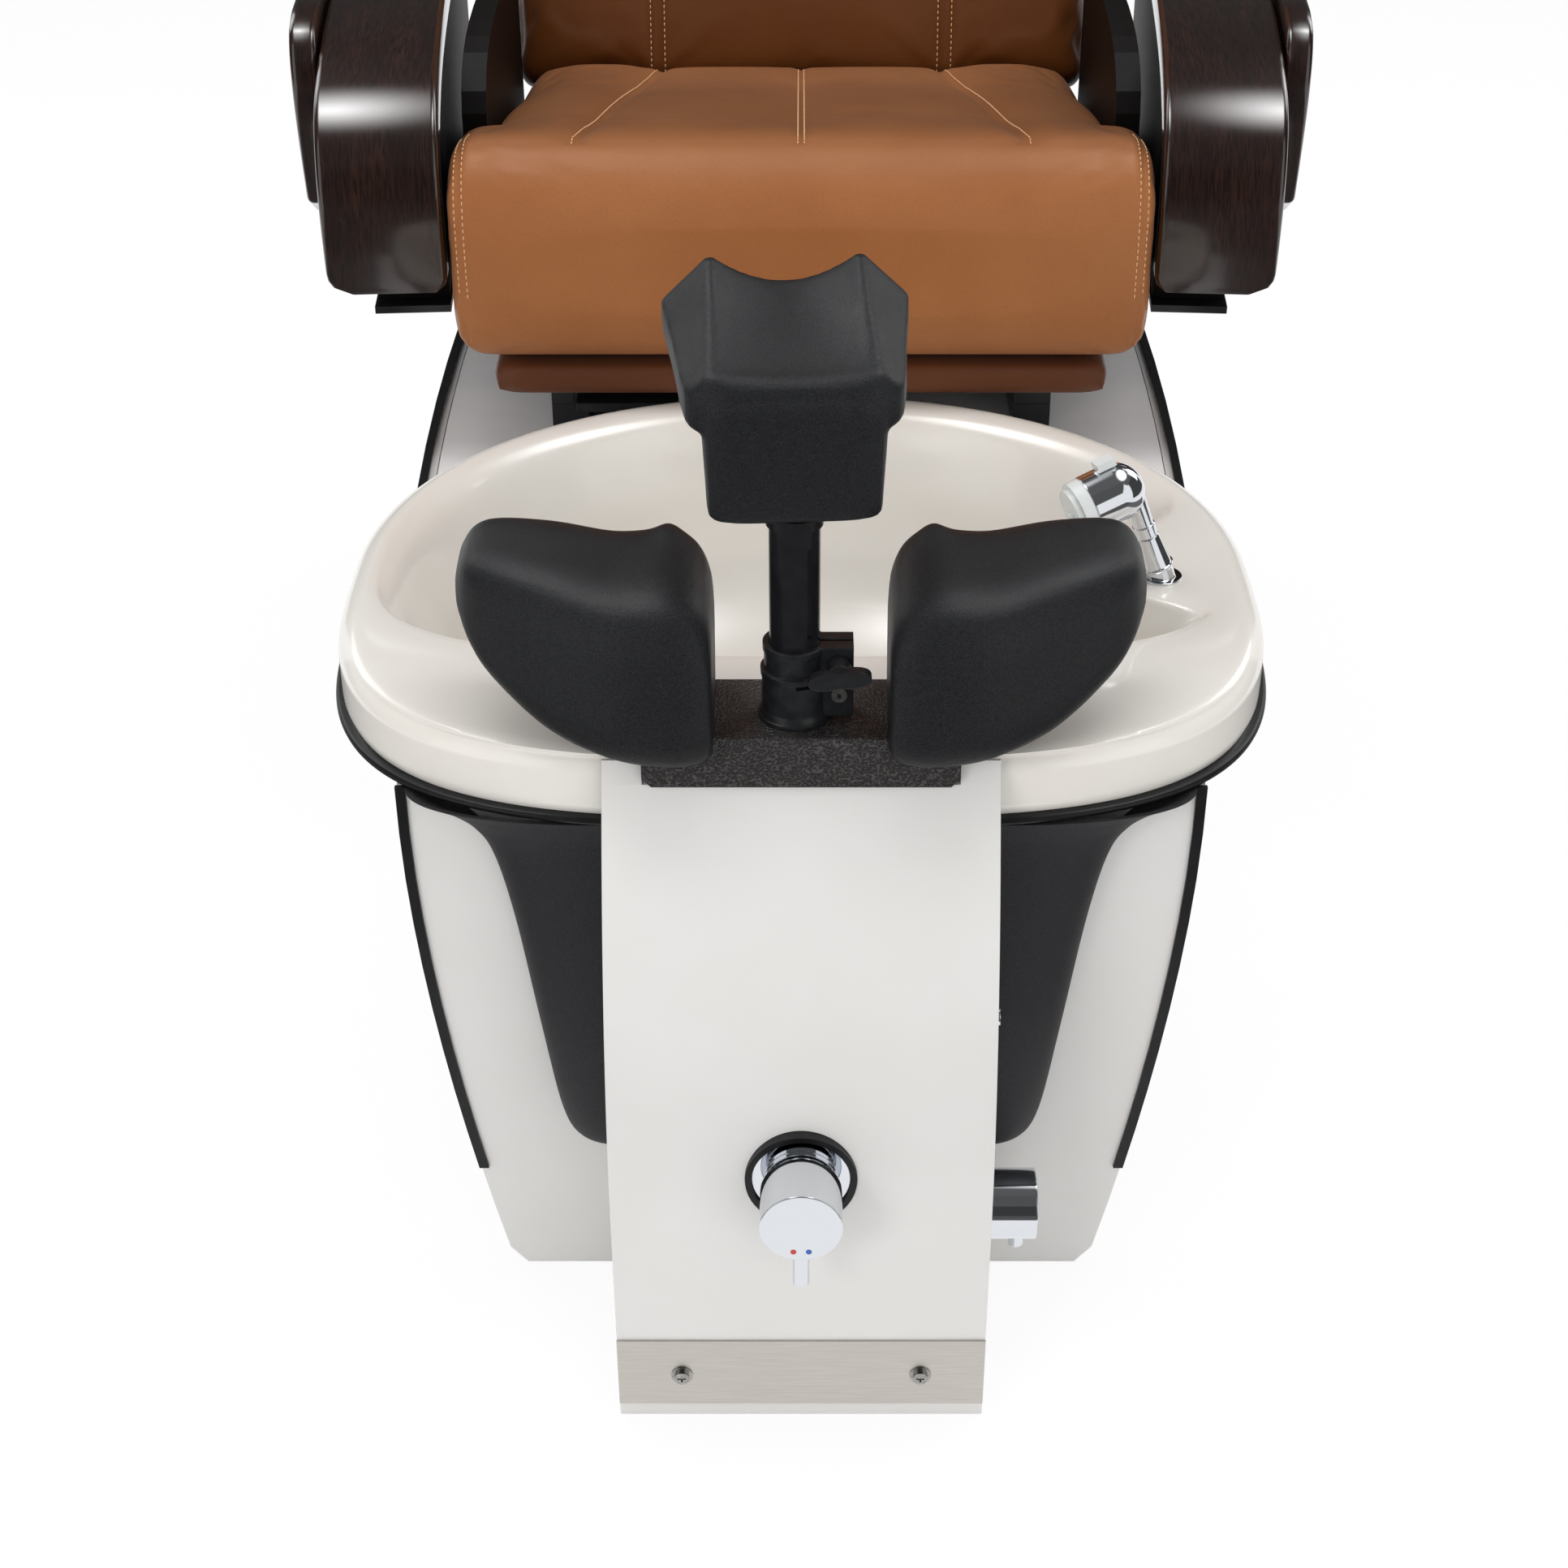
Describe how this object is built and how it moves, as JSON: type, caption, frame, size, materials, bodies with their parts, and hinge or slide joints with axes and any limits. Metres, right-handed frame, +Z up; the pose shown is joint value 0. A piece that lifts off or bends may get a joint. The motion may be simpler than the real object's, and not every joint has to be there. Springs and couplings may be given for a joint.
{
  "type": "pedicure spa chair",
  "caption": "Pedicure spa chair: cabinet with drop-in foot basin, curved control column, post footrest, and a sliding reclining seat with lift-up wooden arms.",
  "frame": {"origin": "on the floor, under the middle of the base plate, at the underside of the base plate", "axes": "+Z up, -Y towards the front of the chair (the footrest and basin end), +X to the right as seen from the front"},
  "size_m": [0.901, 1.539, 1.3828],
  "materials": {
    "white_panel": "satin white laminate",
    "pearl_acrylic": "pearl gloss",
    "plywood": "raw",
    "black_trim": "satin",
    "black_textured": "fine texture",
    "black_steel": "textured powder coat",
    "foam_skin": "moulded foam skin, fine texture",
    "brushed_steel": "brushed",
    "chrome": "polished",
    "brass": "plain",
    "white_plastic": "gloss",
    "grey_plastic": "plain",
    "leather": "caramel, soft sheen",
    "leather_dark": "darker caramel",
    "wood": "espresso, high gloss lacquer"
  },
  "bodies": {
    "base": {"base_plate": "plywood", "front_board": "white_panel", "left_side_panel": "white_panel", "right_side_panel": "white_panel", "mid_bulkhead": "plywood", "rear_cover": "white_panel", "deck": "white_panel", "edge_trim": "black_trim", "rim_gasket": "black_trim", "basin": "pearl_acrylic", "left_skirt": "black_textured", "right_skirt": "black_textured", "column_walls": "white_panel", "front_panel": "white_panel", "kickplate": "brushed_steel", "kickplate_screws": "brushed_steel", "mixer_gasket": "black_trim", "mixer_escutcheon": "chrome", "mixer_body": "brass", "diverter_valve": "chrome", "air_switch": "chrome", "drain_strainer": "chrome", "drain_pipe": "grey_plastic", "jet_motor": "black_textured", "jet_cover": "white_plastic", "water_pipes": "brass", "spray_bush": "chrome", "footrest_plate": "black_steel", "footrest_screws": "brushed_steel", "post_collar": "black_textured", "left_side_pad": "foam_skin", "right_side_pad": "foam_skin", "slide_rails": "black_steel"},
    "footrest": {"footrest_post": "black_steel", "pad_saddle": "black_steel", "centre_pad": "foam_skin"},
    "wing_knob": {"wing_knob": "black_textured"},
    "mixer_turn": {"mixer_sleeve": "chrome"},
    "mixer_lever": {"mixer_handle": "chrome"},
    "diverter": {"diverter_handle": "chrome"},
    "air_button": {"air_button": "chrome"},
    "drain_plug": {"drain_plug": "chrome"},
    "impeller": {"jet_impeller": "white_plastic"},
    "spray_turn": {"spray_collar": "chrome"},
    "spray": {"spray_head": "chrome", "spray_face": "white_plastic"},
    "seat": {"seat_frame": "black_steel", "seat_underpad": "leather_dark", "seat_cushion": "leather", "inner_side_panels": "black_textured", "left_arm_core": "black_textured", "right_arm_core": "black_textured", "outer_cheeks": "wood"},
    "slide_lever": {"slide_lever": "black_textured"},
    "back": {"back_frame": "black_steel", "back_shell": "black_textured", "back_cushion": "leather", "headrest": "leather"},
    "left_arm": {"left_arm": "wood"},
    "right_arm": {"right_arm": "wood"}
  },
  "joints": [
    {"name": "footrest_height", "type": "slide", "parent": "base", "child": "footrest", "axis": [0, 0, 1], "range_m": [-0.04, 0.09]},
    {"name": "wing_knob_turn", "type": "hinge", "parent": "base", "child": "wing_knob", "pos_m": [0.024, -0.6, 0.54215], "axis": [0, -1, 0], "range_deg": [0, 180]},
    {"name": "mixer_temperature", "type": "hinge", "parent": "base", "child": "mixer_turn", "pos_m": [0, -0.719, 0.215], "axis": [0, -1, 0], "range_deg": [-50, 50]},
    {"name": "mixer_flow", "type": "hinge", "parent": "mixer_turn", "child": "mixer_lever", "pos_m": [0, -0.739, 0.215], "axis": [-1, 0, 0], "range_deg": [0, 10]},
    {"name": "diverter_turn", "type": "hinge", "parent": "base", "child": "diverter", "pos_m": [0.1275, -0.638, 0.122], "axis": [1, 0, 0], "range_deg": [0, 90]},
    {"name": "air_button_press", "type": "slide", "parent": "base", "child": "air_button", "axis": [-1, 0, 0], "range_m": [0, 0.003], "stiffness_N_per_m": 500, "springref_m": -0.002},
    {"name": "drain_plug_lift", "type": "slide", "parent": "base", "child": "drain_plug", "axis": [0, 0, 1], "range_m": [0, 0.012]},
    {"name": "impeller_spin", "type": "hinge", "parent": "base", "child": "impeller", "pos_m": [0, -0.48, 0.388], "axis": [0, 1, 0], "continuous": true},
    {"name": "spray_swivel", "type": "hinge", "parent": "base", "child": "spray_turn", "pos_m": [0.262, -0.362, 0.476], "axis": [-0.342, 0, 0.9397], "range_deg": [-60, 60]},
    {"name": "spray_lift", "type": "slide", "parent": "spray_turn", "child": "spray", "axis": [-0.342, 0, 0.9397], "range_m": [0, 0.12]},
    {"name": "seat_slide", "type": "slide", "parent": "base", "child": "seat", "axis": [0, 1, 0], "range_m": [0, 0.1]},
    {"name": "slide_lever_pull", "type": "hinge", "parent": "seat", "child": "slide_lever", "pos_m": [-0.1475, 0.004, 0.4685], "axis": [-1, 0, 0], "range_deg": [0, 10], "stiffness_Nm_per_rad": 2, "springref_deg": -8.59},
    {"name": "back_recline", "type": "hinge", "parent": "seat", "child": "back", "pos_m": [0, 0.42, 0.545], "axis": [-1, 0, 0], "range_deg": [0, 40]},
    {"name": "left_arm_lift", "type": "hinge", "parent": "seat", "child": "left_arm", "pos_m": [-0.37081, 0.45036, 0.748], "axis": [-0.9976, -0.0698, 0], "range_deg": [0, 75]},
    {"name": "right_arm_lift", "type": "hinge", "parent": "seat", "child": "right_arm", "pos_m": [0.37081, 0.45036, 0.748], "axis": [-0.9976, 0.0698, 0], "range_deg": [0, 75]}
  ]
}
